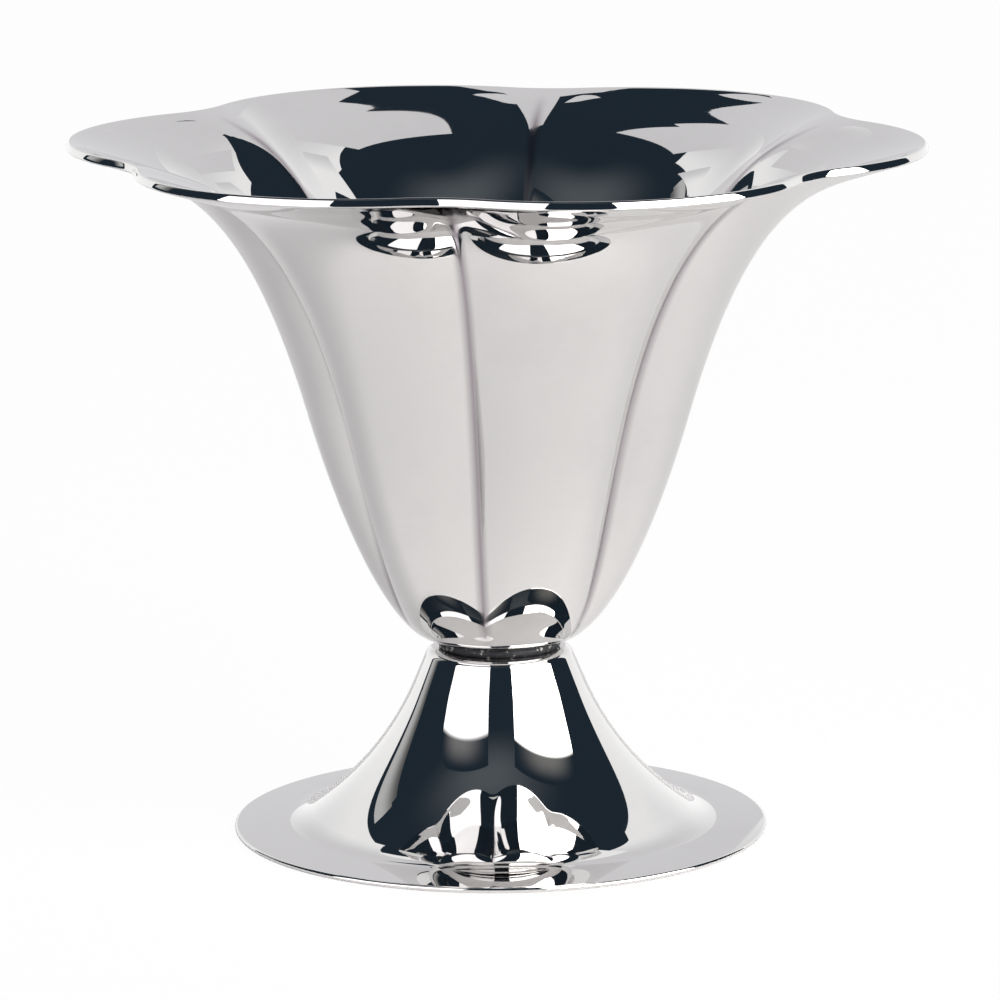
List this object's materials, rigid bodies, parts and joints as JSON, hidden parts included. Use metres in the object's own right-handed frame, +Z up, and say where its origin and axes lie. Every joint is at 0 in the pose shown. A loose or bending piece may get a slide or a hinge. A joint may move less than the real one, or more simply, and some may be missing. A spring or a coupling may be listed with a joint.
{
  "type": "footed sundae cup",
  "caption": "Footed sundae cup of polished sheet steel: a tulip bowl with rounded petals and a flared wavy rim, brazed at a narrow neck to a hollow trumpet foot, for serving ice cream.",
  "frame": {"origin": "middle of the foot's resting plane, on the cup's axis", "axes": "+Z up along the cup's axis, +X through the tip of a petal"},
  "size_m": [0.114, 0.1064, 0.093],
  "materials": {
    "polished_steel": "polished",
    "braze": "satin"
  },
  "bodies": {
    "root": {"bowl": "polished_steel", "foot": "polished_steel", "braze_seam": "braze"}
  },
  "joints": []
}
